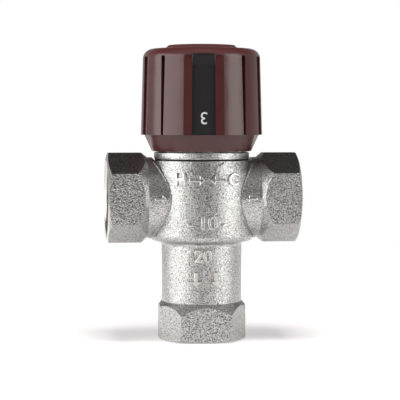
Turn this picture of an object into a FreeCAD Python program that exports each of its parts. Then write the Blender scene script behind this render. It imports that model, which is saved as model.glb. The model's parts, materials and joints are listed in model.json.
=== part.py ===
"""Mixing valve: a forged three-port body, its cartridge and its ribbed setting knob.

Frame: +Z up, origin at the centre of the mixed-water outlet's end face, on which the
valve stands. The hot inlet points to -X, the cold inlet to +X, the front is -Y.
"""
import FreeCAD, Part
import os
import re
import Sketcher

# Driving sizes in millimetres and degrees: name, value, what it is.
SIZES = [
    # forged body
    ("port_reach", 34.3, "valve axis to the end face of a side port"),
    ("port_height", 51.0, "outlet end face to the axis of the side ports"),
    ("hex_flats", 31.0, "across the flats of the three port hexagons"),
    ("side_hex_long", 14.3, "length of a side port hexagon"),
    ("side_corner", 16.0, "axis to the trimmed parting-line corners, side ports"),
    ("base_hex_tall", 13.7, "height of the outlet hexagon"),
    ("base_corner", 15.4, "axis to the trimmed parting-line corners, outlet"),
    ("hex_outer_bevel", 0.9, "radius lost by the end bevel of a hexagon"),
    ("hex_outer_run", 1.3, "length of the end bevel on the corners"),
    ("hex_inner_run", 4.0, "length of the inner bevel on the corners"),
    ("hex_crown", 19.0, "radius that clears every corner of a hexagon"),
    ("neck_radius", 14.4, "outside of the necks and the stem"),
    ("thread_radius", 12.06, "minor radius of the G 3/4 female threads"),
    ("mouth_radius", 13.25, "countersunk mouth of a thread"),
    ("thread_long", 16.0, "depth of a port's thread bore"),
    ("barrel_radius", 19.0, "outside of the barrel"),
    ("barrel_below", 15.6, "port axis down to the barrel's underside"),
    ("barrel_round", 2.6, "rounding of the barrel's lower edge"),
    ("stem_round", 1.6, "fillet between the barrel and the stem"),
    ("barrel_above", 13.2, "port axis up to the barrel's top face"),
    ("barrel_lip", 17.4, "radius of the barrel's top face"),
    ("barrel_taper", 5.0, "height of the barrel's tapered top"),
    ("spot_gap", 1.0, "faced ring of the necks round the bonnet's flange"),
    # water ways
    ("chamber_radius", 14.3, "hot and cold chambers and the bonnet's thread"),
    ("floor_below", 10.4, "port axis down to the hot chamber's floor"),
    ("land_radius", 12.0, "bore that the shuttle slides in"),
    ("land_below", 5.4, "port axis down to the lower end of the shuttle's bore"),
    ("land_above", 0.4, "port axis up to the upper end of the shuttle's bore"),
    ("slot_tall", 4.0, "height of the water slots"),
    ("slot_wide", 14.0, "width of the water slots"),
    ("slot_inset", 0.5, "slot to the nearer end of its chamber"),
    ("waist_radius", 8.6, "water way around the wax element"),
    ("throat_radius", 5.2, "throat below the return spring"),
    ("ledge_below", 25.0, "port axis down to the ledge that carries the return spring"),
    # seats and seals
    ("seat_outer", 12.9, "outside of the seat rings"),
    ("seat_bore", 8.9, "bore of the hot seat"),
    ("cold_bore", 11.1, "bore of the cold seat, wide enough for the travelling nut"),
    ("seat_tall", 2.0, "height of the seat rings"),
    ("seat_sunk", 0.9, "depth to which the hot seat is let into the floor"),
    ("seat_gap", 1.7, "opening between the shuttle and each seat"),
    ("gasket_tall", 0.5, "thickness of the bonnet gasket"),
    ("gasket_inset", 0.3, "gasket edge inside the flange edge"),
    # bonnet
    ("spigot_deep", 5.7, "bonnet below the barrel's top face"),
    ("flange_radius", 17.1, "outside of the bonnet's flange"),
    ("flange_tall", 2.5, "thickness of the flange"),
    ("flange_bevel", 0.3, "bevel on the flange's edges"),
    ("spanner_flats", 27.0, "across the flats of the bonnet's spanner hexagon"),
    ("spanner_tall", 4.0, "height of the spanner hexagon"),
    ("tower_radius", 12.5, "outside of the bonnet's tower"),
    ("tower_tall", 22.8, "height of the tower above the flange"),
    ("tower_roof", 5.0, "thickness of the tower's top wall"),
    # travelling nut and overload spring
    ("nut_flats", 17.4, "across the flats of the travelling nut"),
    ("nut_lift", 2.4, "lower face of the nut above the bonnet's"),
    ("nut_tall", 18.0, "height of the nut"),
    ("nut_cup_deep", 9.2, "depth of the spring cup inside the nut"),
    ("nut_cup_radius", 7.0, "radius of the spring cup inside the nut"),
    ("clip_tall", 0.8, "thickness of the wire clip in the nut"),
    ("clip_lift", 0.5, "clip groove above the nut's lower face"),
    ("clip_bite", 0.5, "depth of the clip's groove"),
    ("clip_wide", 1.7, "width of the clip's section"),
    ("plate_tall", 1.2, "thickness of the spring plate"),
    ("overload_wire", 1.5, "wire of the overload spring"),
    ("overload_radius", 5.3, "mean radius of the overload spring"),
    ("overload_turns", 3.0, "turns of the overload spring"),
    # adjusting spindle
    ("screw_radius", 3.4, "threaded lower part of the spindle"),
    ("screw_tail", 2.0, "spindle end below the nut's thread"),
    ("shaft_radius", 4.0, "sealed part of the spindle"),
    ("collar_radius", 6.5, "thrust collar of the spindle"),
    ("collar_tall", 1.5, "height of the thrust collar"),
    ("washer_tall", 0.6, "thickness of the glide washer"),
    ("ring_groove", 1.3, "height of an O-ring groove"),
    ("ring_section", 0.5, "section radius of a spindle O-ring"),
    ("ring_pitch", 2.1, "distance between the two spindle O-rings"),
    ("ring_first", 1.3, "glide face to the centre of the first O-ring"),
    ("circlip_tall", 0.6, "thickness of the spindle's circlip"),
    ("circlip_radius", 5.6, "outside of the circlip"),
    ("circlip_bite", 0.7, "depth of the circlip's groove"),
    ("neck_above", 1.6, "round shaft above the tower"),
    ("drive_flats", 6.4, "across the flats of the spindle's drive end"),
    ("drive_tall", 6.2, "height of the drive end"),
    # wax element and piston
    ("bulb_radius", 4.8, "wax bulb of the element"),
    ("bulb_long", 19.6, "length of the bulb below its rim"),
    ("bulb_round", 1.4, "rounding of the bulb's end"),
    ("rim_radius", 6.2, "rim of the element"),
    ("rim_tall", 2.0, "height of the rim"),
    ("guide_radius", 3.6, "piston guide of the element"),
    ("guide_tall", 5.6, "height of the piston guide above the rim"),
    ("piston_radius", 1.5, "piston pin"),
    ("piston_deep", 4.5, "length of the piston inside its guide"),
    ("stroke_spare", 1.5, "free depth of the guide below the piston"),
    # shuttle
    ("shuttle_wall", 1.5, "wall of the shuttle"),
    ("web_below", 4.0, "port axis down to the underside of the shuttle's web"),
    ("web_tall", 2.6, "thickness of the shuttle's web"),
    ("window_radius", 1.7, "round windows through the web"),
    ("window_circle", 8.4, "radius of the circle of windows"),
    ("window_count", 8, "windows through the web"),
    ("shuttle_ring", 0.6, "section radius of the shuttle's O-ring"),
    # return spring
    ("return_wire", 1.1, "wire of the return spring"),
    ("return_radius", 6.1, "mean radius of the return spring"),
    ("return_turns", 6.0, "turns of the return spring"),
    # knob
    ("skirt_gap", 0.3, "knob above the bonnet's flange"),
    ("skirt_radius", 17.8, "lower edge of the knob's skirt"),
    ("skirt_tall", 5.9, "height of the conical skirt"),
    ("skirt_round", 0.6, "rounding of the skirt's lower edge"),
    ("core_base", 20.5, "grooved surface at the ribs' lower end"),
    ("core_top", 19.75, "grooved surface at the ribs' upper end"),
    ("rib_proud", 1.25, "height of the ribs over the grooves"),
    ("rib_tall", 27.7, "height of the ribs"),
    ("crown_tall", 2.9, "ribs' upper end to the knob's top face"),
    ("crown_round", 3.6, "rounding of the knob's top edge"),
    ("rib_count", 5, "ribs between two dial windows"),
    ("dial_count", 2, "dial windows round the knob"),
    ("dial_half", 11.4, "half the angle of a dial window"),
    ("land_half", 19.2, "half the angle over a window's two stepped edges"),
    ("land_sunk", 0.5, "depth of the stepped edges"),
    ("dial_turn", 4.2, "angle that the knob is turned away from the front"),
    ("dial_fade", 3.4, "height over which a dial window runs out into the crown"),
    ("slit_base", 2.8, "angle of a narrow groove at its lower end"),
    ("slit_top", 4.4, "angle of a narrow groove at its upper end"),
    ("slit_sunk", 0.8, "depth of a narrow groove below the dial windows"),
    ("slit_fade", 1.2, "height over which a narrow groove grows shallow at its top"),
    ("shell_radius", 17.9, "inside of the knob"),
    ("shell_taper", 0.6, "radius lost inside between the ribs' two ends"),
    ("shell_roof", 3.7, "thickness of the knob's top wall"),
    ("skirt_mouth", 16.2, "inside of the skirt's lower edge"),
    ("boss_radius", 8.6, "boss round the drive socket"),
    ("floor_tall", 2.0, "wall between the socket and the screw's well"),
    ("knob_webs", 6, "stiffening webs inside the knob"),
    ("web_thick", 1.4, "thickness of a stiffening web"),
    ("web_lift", 1.2, "webs above the spindle's circlip"),
    # cap and screw
    ("cap_radius", 13.0, "outside of the cap"),
    ("cap_seat", 1.2, "depth of the cap's recess"),
    ("cap_proud", 1.3, "cap's top over the knob's top face"),
    ("cap_bevel", 1.1, "bevel on the cap's edge"),
    ("well_radius", 7.0, "well for the screw's head"),
    ("cap_ring", 0.9, "wall of the cap's push-in ring"),
    ("cap_ring_deep", 1.6, "depth of the cap's push-in ring"),
    ("bolt_radius", 1.6, "shank of the knob's screw"),
    ("bolt_long", 9.5, "length of the screw below its head"),
    ("head_radius", 3.6, "head of the screw"),
    ("head_tall", 1.7, "height of the screw's head"),
    ("driver_slot", 1.0, "width and depth of the screw's slot"),
    ("flat_washer", 4.4, "outside of the screw's washer"),
    ("flat_washer_tall", 0.8, "thickness of the screw's washer"),
    # clearances
    ("press_gap", 0.03, "radial clearance of a part that is pressed in"),
    ("slide_gap", 0.08, "radial clearance of a part that turns or slides"),
    ("loose_gap", 0.15, "clearance of a part that sits loosely"),
]
NAMES = {name for name, value, note in SIZES}

# Heights and radii that follow from the driving sizes.
BARREL_BASE = "(port_height - barrel_below)"
BARREL_TOP = "(port_height + barrel_above)"
CHAMBER_FLOOR = "(port_height - floor_below)"
LAND_BOTTOM = "(port_height - land_below)"
LAND_TOP = "(port_height + land_above)"
SPRING_LEDGE = "(port_height - ledge_below)"
WEB_BASE = "(port_height - web_below)"
FLANGE_BASE = f"({BARREL_TOP} + gasket_tall)"
FLANGE_TOP = f"({FLANGE_BASE} + flange_tall)"
BONNET_BASE = f"({BARREL_TOP} - spigot_deep)"
TOWER_TOP = f"({FLANGE_TOP} + tower_tall)"
TOWER_CEILING = f"({TOWER_TOP} - tower_roof)"
NUT_BASE = f"({BONNET_BASE} + nut_lift)"
SHUTTLE_RADIUS = "(land_radius - slide_gap)"
SHUTTLE_BASE = f"({CHAMBER_FLOOR} - seat_sunk + seat_tall + seat_gap)"
SHUTTLE_TOP = f"({BONNET_BASE} - seat_gap)"
WEB_TOP = f"({WEB_BASE} + web_tall)"
WEB_MIDDLE = f"({WEB_BASE} + web_tall / 2)"
NUT_CEILING = f"({NUT_BASE} + nut_cup_deep)"
NUT_TOP = f"({NUT_BASE} + nut_tall)"
PLATE_BASE = f"({NUT_BASE} + clip_lift + clip_tall)"
PLATE_TOP = f"({PLATE_BASE} + plate_tall)"
BULB_BASE = f"({WEB_TOP} - bulb_long)"
GUIDE_BASE = f"({WEB_TOP} + rim_tall)"
GUIDE_TOP = f"({GUIDE_BASE} + guide_tall)"
PISTON_BASE = f"({GUIDE_TOP} - piston_deep)"
COLLAR_TOP = f"({TOWER_CEILING} - washer_tall)"
DRIVE_BASE = f"({TOWER_TOP} + neck_above)"
DRIVE_TOP = f"({DRIVE_BASE} + drive_tall)"
RING_LOWER = f"({TOWER_CEILING} + ring_first)"
RING_UPPER = f"({RING_LOWER} + ring_pitch)"
KNOB_BASE = f"({FLANGE_TOP} + skirt_gap)"
RIB_BASE = f"({KNOB_BASE} + skirt_tall)"
RIB_TOP = f"({RIB_BASE} + rib_tall)"
KNOB_TOP = f"({RIB_TOP} + crown_tall)"
CROWN_BASE = f"({KNOB_TOP} - crown_round - loose_gap)"
SHELL_CEILING = f"({KNOB_TOP} - shell_roof)"
WELL_FLOOR = f"({DRIVE_TOP} + loose_gap + floor_tall)"
CAP_FLOOR = f"({KNOB_TOP} - cap_seat)"
GRIP_CLEAR = "(1.25 * (core_base + rib_proud))"
WEBS_BASE = f"({TOWER_TOP} + circlip_tall + web_lift)"
HEAD_BASE = f"({WELL_FLOOR} + flat_washer_tall)"

doc = FreeCAD.newDocument("MixingValve")
sheet = doc.addObject("Spreadsheet::Sheet", "Sizes")
for row, (name, value, note) in enumerate(SIZES, start=1):
    sheet.set(f"A{row}", note)
    sheet.set(f"B{row}", str(value))
    sheet.setAlias(f"B{row}", name)
doc.recompute()

FULL_TURN = 360
SAME_PLACE = 0.01
parts = []


def linked(text):
    """Expression with each size's name written as a reference to the sheet."""
    def reference(word):
        return f"Sizes.{word[0]}" if word[0] in NAMES else word[0]
    return re.sub(r"[a-z_]\w*", reference, str(text))


def measure(text):
    """Value of an expression in the sizes."""
    return float(sheet.evalExpression(linked(text)))


def new_body(name):
    body = doc.addObject("PartDesign::Body", name)
    body.Label = name
    parts.append(body)
    return body


def sketch_on(body, role, lift="0", shift=("0", "0")):
    """Empty sketch on an origin plane, lifted along its normal and shifted in it."""
    sketch = body.newObject("Sketcher::SketchObject", "outline")
    plane = next(item for item in body.Origin.OriginFeatures if item.Role == role)
    sketch.AttachmentSupport = (plane, [""])
    sketch.MapMode = "FlatFace"
    sketch.setExpression("AttachmentOffset.Base.x", linked(shift[0]))
    sketch.setExpression("AttachmentOffset.Base.y", linked(shift[1]))
    sketch.setExpression("AttachmentOffset.Base.z", linked(lift))
    return sketch


def draw_polygon(sketch, corners):
    """Closed straight-sided outline with every corner bound to the sizes."""
    first = sketch.GeometryCount
    spots = [FreeCAD.Vector(measure(across), measure(up), 0) for across, up in corners]
    for index, spot in enumerate(spots):
        sketch.addGeometry(Part.LineSegment(spot, spots[(index + 1) % len(spots)]), False)
    for index, (across, up) in enumerate(corners):
        edge = first + index
        following = first + (index + 1) % len(corners)
        sketch.addConstraint(Sketcher.Constraint("Coincident", edge, 2, following, 1))
        for kind, value in (("DistanceX", across), ("DistanceY", up)):
            number = sketch.addConstraint(Sketcher.Constraint(kind, -1, 1, edge, 1, measure(value)))
            sketch.setExpression(f"Constraints[{number}]", linked(value))
    return sketch


def draw_circle(sketch, radius, across="0", up="0"):
    """Circle bound to the sizes."""
    spot = FreeCAD.Vector(measure(across), measure(up), 0)
    edge = sketch.addGeometry(Part.Circle(spot, FreeCAD.Vector(0, 0, 1), measure(radius)), False)
    for kind, value in (("DistanceX", across), ("DistanceY", up)):
        number = sketch.addConstraint(Sketcher.Constraint(kind, -1, 1, edge, 3, measure(value)))
        sketch.setExpression(f"Constraints[{number}]", linked(value))
    number = sketch.addConstraint(Sketcher.Constraint("Radius", edge, measure(radius)))
    sketch.setExpression(f"Constraints[{number}]", linked(radius))
    return sketch


def hexagon(flats, corner=None):
    """Corners of a hexagon with two flats across the first axis, its far corners trimmed."""
    half = f"({flats}) / 2"
    side = f"({flats}) / 2 / sqrt(3)"
    if corner is None:
        quarter = [(half, side), ("0", f"2 * {side}")]
        other = [(f"-{half}", f"-{side}"), ("0", f"-2 * {side}"), (half, f"-{side}")]
        return quarter + [(f"-{half}", side)] + other
    trim = f"(({flats}) - sqrt(3) * {corner})"
    upper = [(half, side), (trim, corner), (f"-{trim}", corner), (f"-{half}", side)]
    return upper + [(across, f"-({up})") for across, up in reversed(upper)]


def turn(body, corners, role="XZ_Plane", axis="V_Axis", shift=("0", "0"), cut=False):
    """Profile turned round its sketch's axis, added or cut."""
    sketch = draw_polygon(sketch_on(body, role, shift=shift), corners)
    feature = body.newObject("PartDesign::Groove" if cut else "PartDesign::Revolution", "turned")
    feature.Profile = sketch
    feature.ReferenceAxis = (sketch, [axis])
    feature.Angle = FULL_TURN
    doc.recompute()
    return feature


def raise_pad(body, sketch, length, both_ways=False):
    pad = body.newObject("PartDesign::Pad", "pad")
    pad.Profile = sketch
    pad.setExpression("Length", linked(length))
    if both_ways:
        pad.SideType = "Symmetric"
    doc.recompute()
    return pad


def cut_pocket(body, sketch, length, upwards=True):
    """Pocket along the sketch's normal, or against it."""
    before = body.Shape.Volume
    pocket = body.newObject("PartDesign::Pocket", "pocket")
    pocket.Profile = sketch
    pocket.setExpression("Length", linked(length))
    pocket.Reversed = upwards
    doc.recompute()
    if not body.Shape.Volume < before:
        raise RuntimeError(f"{body.Label}: a pocket cuts nothing")
    return pocket


def repeat_round(body, feature, count):
    """Copies of a feature round the body's Z axis."""
    pattern = body.newObject("PartDesign::PolarPattern", "pattern")
    pattern.Originals = [feature]
    axis = next(item for item in body.Origin.OriginFeatures if item.Role == "Z_Axis")
    pattern.Axis = (axis, [""])
    pattern.Angle = FULL_TURN
    pattern.setExpression("Occurrences", linked(count))
    body.Tip = pattern
    doc.recompute()
    return pattern


def soften(body, kind, size, wanted):
    """Fillet or chamfer on the edges of the tip that the test picks."""
    tip = body.Tip
    names = [f"Edge{number}" for number, edge in enumerate(tip.Shape.Edges, start=1) if wanted(edge)]
    if not names:
        raise RuntimeError(f"{body.Label}: no edge to soften")
    feature = body.newObject(f"PartDesign::{kind}", kind.lower())
    feature.Base = (tip, names)
    feature.setExpression("Radius" if kind == "Fillet" else "Size", linked(size))
    doc.recompute()
    return feature


def ring_edge(radius, height):
    """Test for a level round edge of this radius at this height."""
    def wanted(edge):
        box = edge.BoundBox
        level = box.ZLength < SAME_PLACE and abs(box.ZMin - measure(height)) < SAME_PLACE
        return level and abs(box.XMax - measure(radius)) < SAME_PLACE
    return wanted


def coil(name, base, top, wire, radius, turns):
    """Spring of round wire between two seats."""
    body = new_body(name)
    rise = f"({top} - {base} - {wire} - 2 * loose_gap)"
    sketch = sketch_on(body, "XZ_Plane")
    draw_circle(sketch, f"{wire} / 2", radius, f"{base} + loose_gap + {wire} / 2")
    helix = body.newObject("PartDesign::AdditiveHelix", "coil")
    helix.Profile = sketch
    helix.ReferenceAxis = (sketch, ["V_Axis"])
    helix.Mode = "pitch-height-angle"
    helix.setExpression("Pitch", linked(f"{rise} / {turns}"))
    helix.setExpression("Height", linked(rise))
    doc.recompute()
    return body


def seal_ring(name, radius, section, height):
    """O-ring about the valve's axis."""
    ring = doc.addObject("Part::Torus", name)
    ring.Label = name
    ring.setExpression("Radius1", linked(radius))
    ring.setExpression("Radius2", linked(section))
    ring.setExpression("Placement.Base.z", linked(height))
    parts.append(ring)
    return ring


def flat_ring(name, inner, outer, base, top):
    """Ring of rectangular section about the valve's axis."""
    body = new_body(name)
    turn(body, [(inner, base), (outer, base), (outer, top), (inner, top)])
    return body


def bevel_end(body, axis, shift, end, inward, run):
    """Turned bevel that trims a hexagon's corners at one end, from the end face inward."""
    tip = "(hex_flats / 2 - hex_outer_bevel)"
    corner = "(hex_flats / sqrt(3))"
    depth = f"{run} * (hex_crown - {tip}) / ({corner} - {tip})"
    spots = [(end, tip), (end, "hex_crown"), (f"{end} + ({inward}) * {depth}", "hex_crown")]
    if axis == "V_Axis":
        spots = [(radius, along) for along, radius in spots]
    turn(body, spots, axis=axis, shift=shift, cut=True)


def add_port_hexagons(body):
    """Outlet hexagon below and one hexagon at each side port, bevelled at both ends."""
    base = [(up, across) for across, up in hexagon("hex_flats", "base_corner")]
    raise_pad(body, draw_polygon(sketch_on(body, "XY_Plane"), base), "base_hex_tall")
    bevel_end(body, "V_Axis", ("0", "0"), "0", "1", "hex_outer_run")
    bevel_end(body, "V_Axis", ("0", "0"), "base_hex_tall", "-1", "hex_inner_run")
    level = ("0", "port_height")
    for side in ("1", "-1"):
        start = "port_reach - side_hex_long" if side == "1" else "-port_reach"
        sketch = sketch_on(body, "YZ_Plane", start, level)
        outline = draw_polygon(sketch, hexagon("hex_flats", "side_corner"))
        raise_pad(body, outline, "side_hex_long")
        bevel_end(body, "H_Axis", level, f"({side}) * port_reach", f"-({side})", "hex_outer_run")
        inner_end = f"({side}) * (port_reach - side_hex_long)"
        bevel_end(body, "H_Axis", level, inner_end, side, "hex_inner_run")


def bore_ports(body):
    """Countersunk thread bores of the outlet and the two inlets."""
    level = ("0", "port_height")
    sink = "(mouth_radius - thread_radius)"
    turn(body, [("0", "0"), ("mouth_radius", "0"), ("thread_radius", sink),
                ("thread_radius", "thread_long"), ("0", "thread_long")], cut=True)
    for side in ("1", "-1"):
        end = f"({side}) * port_reach"
        turn(body, [(end, "0"), (end, "mouth_radius"), (f"{end} - ({side}) * {sink}", "thread_radius"),
                    (f"{end} - ({side}) * thread_long", "thread_radius"),
                    (f"{end} - ({side}) * thread_long", "0")], axis="H_Axis", shift=level, cut=True)


def bore_chambers(body):
    """Bore from the bonnet's thread down to the outlet, with the ledges for seat and spring."""
    above_necks = "(port_height + hex_crown)"
    spot_face = "(flange_radius + spot_gap)"
    turn(body, [
        ("0", above_necks), (spot_face, above_necks), (spot_face, BARREL_TOP),
        ("chamber_radius", BARREL_TOP), ("chamber_radius", LAND_TOP),
        ("land_radius", LAND_TOP), ("land_radius", LAND_BOTTOM), ("chamber_radius", LAND_BOTTOM),
        ("chamber_radius", CHAMBER_FLOOR), ("seat_outer + press_gap", CHAMBER_FLOOR),
        ("seat_outer + press_gap", f"{CHAMBER_FLOOR} - seat_sunk"),
        ("waist_radius", f"{CHAMBER_FLOOR} - seat_sunk"), ("waist_radius", SPRING_LEDGE),
        ("throat_radius", SPRING_LEDGE), ("throat_radius", "thread_long"), ("0", "thread_long")], cut=True)


def cut_slots(body):
    """Slots that lead hot water under the land and cold water over it."""
    reach = "(port_reach - thread_long + loose_gap)"
    for side, low in (("-1", f"{CHAMBER_FLOOR} + slot_inset"), ("1", f"{LAND_TOP} + slot_inset")):
        low = f"({low})"
        half = "slot_wide / 2"
        high = f"{low} + slot_tall"
        corners = [(f"-{half}", low), (half, low), (half, high), (f"-{half}", high)]
        start = "0" if side == "1" else f"-{reach}"
        sketch = draw_polygon(sketch_on(body, "YZ_Plane", start), corners)
        cut_pocket(body, sketch, reach)


def make_valve_body():
    """Forged body: barrel, stem, two necks and three hexagons, bored and threaded."""
    body = new_body("valve_body")
    turn(body, [
        ("0", "base_hex_tall / 2"), ("neck_radius", "base_hex_tall / 2"), ("neck_radius", BARREL_BASE),
        ("barrel_radius", BARREL_BASE), ("barrel_radius", f"{BARREL_TOP} - barrel_taper"),
        ("barrel_lip", BARREL_TOP), ("0", BARREL_TOP)])
    soften(body, "Fillet", "barrel_round", ring_edge("barrel_radius", BARREL_BASE))
    soften(body, "Fillet", "stem_round", ring_edge("neck_radius", BARREL_BASE))
    necks = draw_circle(sketch_on(body, "YZ_Plane", shift=("0", "port_height")), "neck_radius")
    raise_pad(body, necks, "2 * (port_reach - side_hex_long / 2)", both_ways=True)
    add_port_hexagons(body)
    bore_ports(body)
    bore_chambers(body)
    cut_slots(body)


def make_bonnet():
    """Screwed bonnet: spigot, flange, spanner hexagon and the tower that guides the nut."""
    body = new_body("bonnet")
    turn(body, [
        ("0", BONNET_BASE), ("chamber_radius - press_gap", BONNET_BASE),
        ("chamber_radius - press_gap", FLANGE_BASE), ("flange_radius", FLANGE_BASE),
        ("flange_radius", FLANGE_TOP), ("tower_radius", FLANGE_TOP), ("tower_radius", TOWER_TOP),
        ("0", TOWER_TOP)])
    for height in (FLANGE_BASE, FLANGE_TOP):
        soften(body, "Chamfer", "flange_bevel", ring_edge("flange_radius", height))
    spanner = draw_polygon(sketch_on(body, "XY_Plane", FLANGE_TOP), hexagon("spanner_flats"))
    raise_pad(body, spanner, "spanner_tall")
    guide = draw_polygon(sketch_on(body, "XY_Plane", BONNET_BASE), hexagon("nut_flats + 4 * slide_gap"))
    cut_pocket(body, guide, f"{TOWER_CEILING} - {BONNET_BASE}")
    turn(body, [("0", BONNET_BASE), ("seat_outer + press_gap", BONNET_BASE),
                ("seat_outer + press_gap", f"{BONNET_BASE} + seat_tall"),
                ("0", f"{BONNET_BASE} + seat_tall")],
         cut=True)
    turn(body, [("0", TOWER_CEILING), ("shaft_radius + slide_gap", TOWER_CEILING),
                ("shaft_radius + slide_gap", TOWER_TOP), ("0", TOWER_TOP)], cut=True)


def make_seats_and_gasket():
    flat_ring("bonnet_gasket", "chamber_radius + loose_gap", "flange_radius - gasket_inset",
              BARREL_TOP, FLANGE_BASE)
    floor = f"({CHAMBER_FLOOR} - seat_sunk)"
    flat_ring("hot_seat", "seat_bore", "seat_outer", floor, f"{floor} + seat_tall")
    flat_ring("cold_seat", "cold_bore", "seat_outer", BONNET_BASE, f"{BONNET_BASE} + seat_tall")


def make_spindle():
    """Adjusting spindle: screw, thrust collar, sealed shaft and hexagonal drive end."""
    body = new_body("spindle")
    shaft = [("0", f"{NUT_CEILING} - screw_tail"), ("screw_radius", f"{NUT_CEILING} - screw_tail"),
             ("screw_radius", f"{COLLAR_TOP} - collar_tall"),
             ("collar_radius", f"{COLLAR_TOP} - collar_tall"),
             ("collar_radius", COLLAR_TOP), ("shaft_radius", COLLAR_TOP)]
    groove_floor = "(shaft_radius - 2 * ring_section)"
    for middle in (RING_LOWER, RING_UPPER):
        low, high = f"{middle} - ring_groove / 2", f"{middle} + ring_groove / 2"
        shaft += [("shaft_radius", low), (groove_floor, low), (groove_floor, high), ("shaft_radius", high)]
    clip_base = f"({TOWER_TOP} + slide_gap / 2)"
    clip_top = f"({TOWER_TOP} + circlip_tall + slide_gap)"
    clip_floor = "(shaft_radius - circlip_bite)"
    shaft += [("shaft_radius", clip_base), (clip_floor, clip_base), (clip_floor, clip_top),
              ("shaft_radius", clip_top), ("shaft_radius", DRIVE_BASE), ("0", DRIVE_BASE)]
    turn(body, shaft)
    drive = draw_polygon(sketch_on(body, "XY_Plane", DRIVE_BASE), hexagon("drive_flats"))
    raise_pad(body, drive, "drive_tall")
    hole = draw_circle(sketch_on(body, "XY_Plane", DRIVE_TOP), "bolt_radius + slide_gap")
    cut_pocket(body, hole, "bolt_long", upwards=False)
    section = "ring_section - slide_gap / 2"
    seal_ring("spindle_seal_lower", "shaft_radius - ring_section", section, RING_LOWER)
    seal_ring("spindle_seal_upper", "shaft_radius - ring_section", section, RING_UPPER)
    flat_ring("glide_washer", "shaft_radius + slide_gap", "collar_radius", COLLAR_TOP, TOWER_CEILING)
    flat_ring("spindle_circlip", f"{clip_floor} + press_gap", "circlip_radius",
              f"{TOWER_TOP} + slide_gap", f"{TOWER_TOP} + slide_gap / 2 + circlip_tall")


def make_travel_nut():
    """Hexagonal nut that the spindle screws up and down, with its spring, plate and clip."""
    body = new_body("travel_nut")
    raise_pad(body, draw_polygon(sketch_on(body, "XY_Plane", NUT_BASE), hexagon("nut_flats")), "nut_tall")
    groove_base = f"({NUT_BASE} + clip_lift - slide_gap / 2)"
    groove_top = f"{PLATE_BASE}"
    turn(body, [
        ("0", NUT_BASE), ("nut_cup_radius", NUT_BASE), ("nut_cup_radius", groove_base),
        ("nut_cup_radius + clip_bite", groove_base), ("nut_cup_radius + clip_bite", groove_top),
        ("nut_cup_radius", groove_top), ("nut_cup_radius", NUT_CEILING),
        ("screw_radius + slide_gap", NUT_CEILING),
        ("screw_radius + slide_gap", NUT_TOP), ("0", NUT_TOP)], cut=True)
    clip_outer = "(nut_cup_radius + clip_bite - press_gap)"
    flat_ring("nut_clip", f"{clip_outer} - clip_wide", clip_outer, f"{NUT_BASE} + clip_lift", PLATE_BASE)
    plate = new_body("spring_plate")
    turn(plate, [("0", PLATE_BASE), ("nut_cup_radius - slide_gap", PLATE_BASE),
                 ("nut_cup_radius - slide_gap", PLATE_TOP), ("0", PLATE_TOP)])
    coil("overload_spring", PLATE_TOP, NUT_CEILING, "overload_wire", "overload_radius", "overload_turns")


def make_wax_element():
    """Wax bulb with its rim and guide, and the piston pin that pushes on the spring plate."""
    body = new_body("wax_element")
    bore = "(piston_radius + slide_gap)"
    turn(body, [
        ("0", BULB_BASE), ("bulb_radius", BULB_BASE), ("bulb_radius", WEB_TOP), ("rim_radius", WEB_TOP),
        ("rim_radius", GUIDE_BASE), ("guide_radius", GUIDE_BASE), ("guide_radius", GUIDE_TOP),
        (bore, GUIDE_TOP), (bore, f"{PISTON_BASE} - stroke_spare"), ("0", f"{PISTON_BASE} - stroke_spare")])
    soften(body, "Fillet", "bulb_round", ring_edge("bulb_radius", BULB_BASE))
    pin = new_body("piston_pin")
    turn(pin, [("0", PISTON_BASE), ("piston_radius", PISTON_BASE), ("piston_radius", PLATE_BASE),
               ("0", PLATE_BASE)])


def make_shuttle():
    """Sliding shuttle that opens one seat as it closes the other, with its windowed web."""
    body = new_body("shuttle")
    inside = f"({SHUTTLE_RADIUS} - shuttle_wall)"
    groove_floor = f"({SHUTTLE_RADIUS} - 2 * shuttle_ring + slide_gap)"
    hub = "(bulb_radius + loose_gap)"
    turn(body, [
        (hub, WEB_BASE), (inside, WEB_BASE), (inside, SHUTTLE_BASE), (SHUTTLE_RADIUS, SHUTTLE_BASE),
        (SHUTTLE_RADIUS, f"{WEB_MIDDLE} - ring_groove / 2"),
        (groove_floor, f"{WEB_MIDDLE} - ring_groove / 2"),
        (groove_floor, f"{WEB_MIDDLE} + ring_groove / 2"),
        (SHUTTLE_RADIUS, f"{WEB_MIDDLE} + ring_groove / 2"),
        (SHUTTLE_RADIUS, SHUTTLE_TOP), (inside, SHUTTLE_TOP), (inside, WEB_TOP), (hub, WEB_TOP)])
    window = draw_circle(sketch_on(body, "XY_Plane", WEB_BASE), "window_radius", "window_circle")
    repeat_round(body, cut_pocket(body, window, "web_tall"), "window_count")
    seal_ring("shuttle_seal", f"{SHUTTLE_RADIUS} - shuttle_ring + slide_gap / 2",
              "shuttle_ring - slide_gap / 2", WEB_MIDDLE)
    coil("return_spring", SPRING_LEDGE, WEB_BASE, "return_wire", "return_radius", "return_turns")


def polar(radius, angle):
    """Corner at a radius and an angle, in degrees from the front, seen from above."""
    return (f"{radius} * sin(({angle}) * 1 deg)", f"-({radius}) * cos(({angle}) * 1 deg)")


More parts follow.
